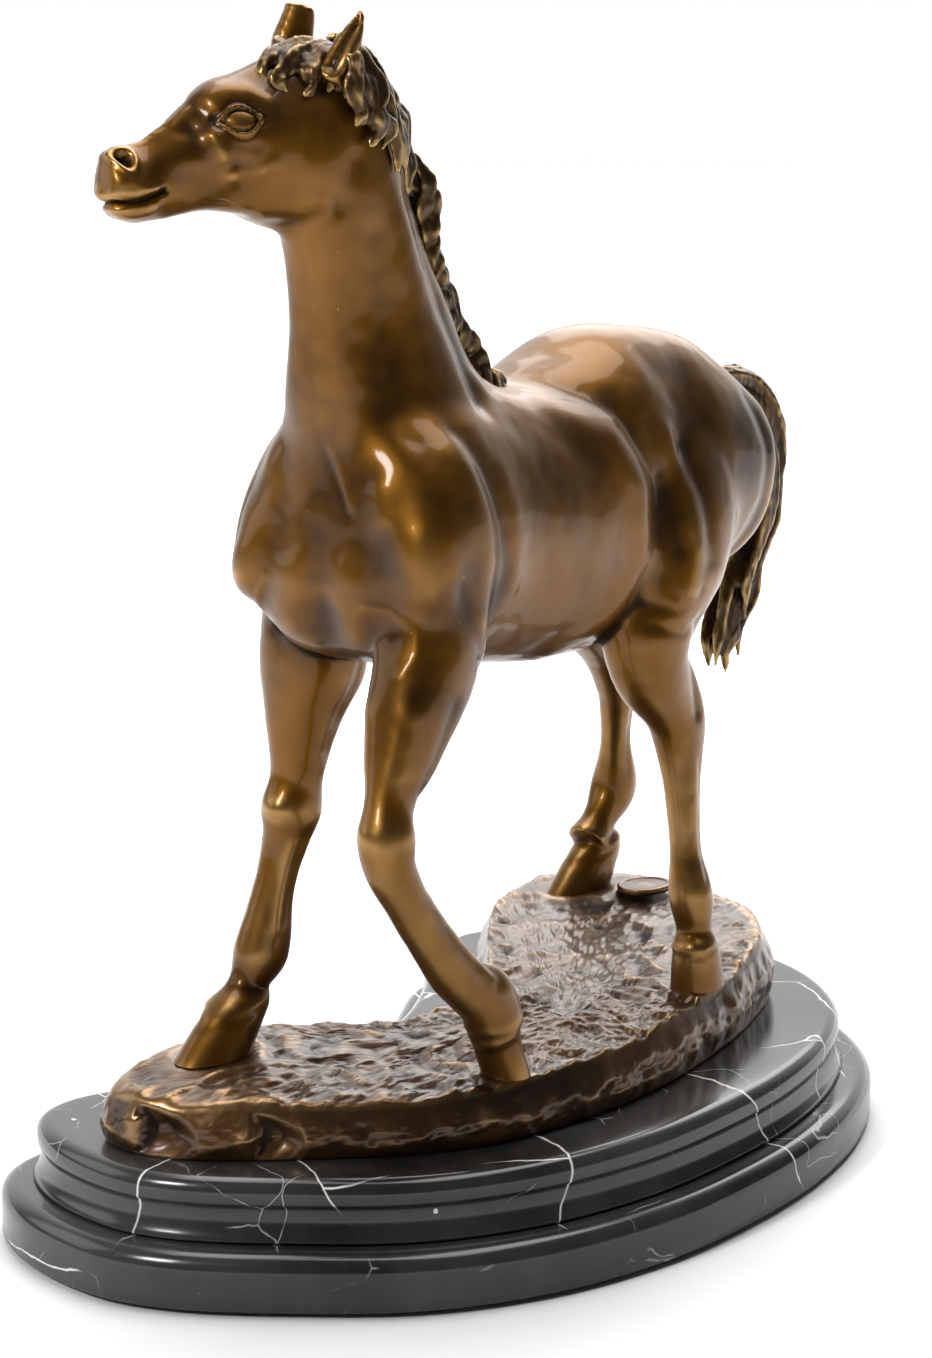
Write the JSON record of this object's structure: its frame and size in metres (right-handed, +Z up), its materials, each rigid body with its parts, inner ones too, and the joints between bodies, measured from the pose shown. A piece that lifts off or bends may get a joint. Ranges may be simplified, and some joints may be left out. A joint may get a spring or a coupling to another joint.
{
  "type": "bronze horse statue",
  "caption": "Patinated bronze young horse walking on a rough modelled ground, fixed to a two-tier kidney-shaped black marble base.",
  "frame": {"origin": "middle of the flat underside of the felt, on the table", "axes": "+X the way the horse walks, +Y the horse's left, +Z up"},
  "size_m": [0.359, 0.2247, 0.3954],
  "materials": {
    "horse_bronze": "chestnut-brown patina, waxed, worn to olive gold on the high places",
    "hair_bronze": "brown patina, edges of the locks rubbed bright",
    "ground_bronze": "dark brown patina, semi-matt, rim rubbed brighter",
    "black_marble": "polished, thin white veins",
    "felt": "pressed felt",
    "zinc_steel": "zinc plated"
  },
  "bodies": {
    "root": {"felt_sheet": "felt", "marble_lower_slab": "black_marble", "marble_upper_slab": "black_marble", "ground_casting": "ground_bronze", "foundry_medallion": "ground_bronze", "torso_casting": "horse_bronze", "neck_and_head_casting": "horse_bronze", "left_fore_leg": "horse_bronze", "right_fore_leg": "horse_bronze", "left_hind_leg": "horse_bronze", "right_hind_leg": "horse_bronze", "tail_casting": "hair_bronze", "mane_casting": "hair_bronze", "left_fore_hoof_stud": "zinc_steel", "right_fore_hoof_stud": "zinc_steel", "left_hind_hoof_stud": "zinc_steel", "right_hind_hoof_stud": "zinc_steel", "left_fore_hoof_nut": "zinc_steel", "right_fore_hoof_nut": "zinc_steel", "left_hind_hoof_nut": "zinc_steel", "right_hind_hoof_nut": "zinc_steel", "base_bolt_1": "zinc_steel", "base_bolt_2": "zinc_steel", "base_bolt_3": "zinc_steel", "base_washer_1": "zinc_steel", "base_washer_2": "zinc_steel", "base_washer_3": "zinc_steel"}
  },
  "joints": []
}
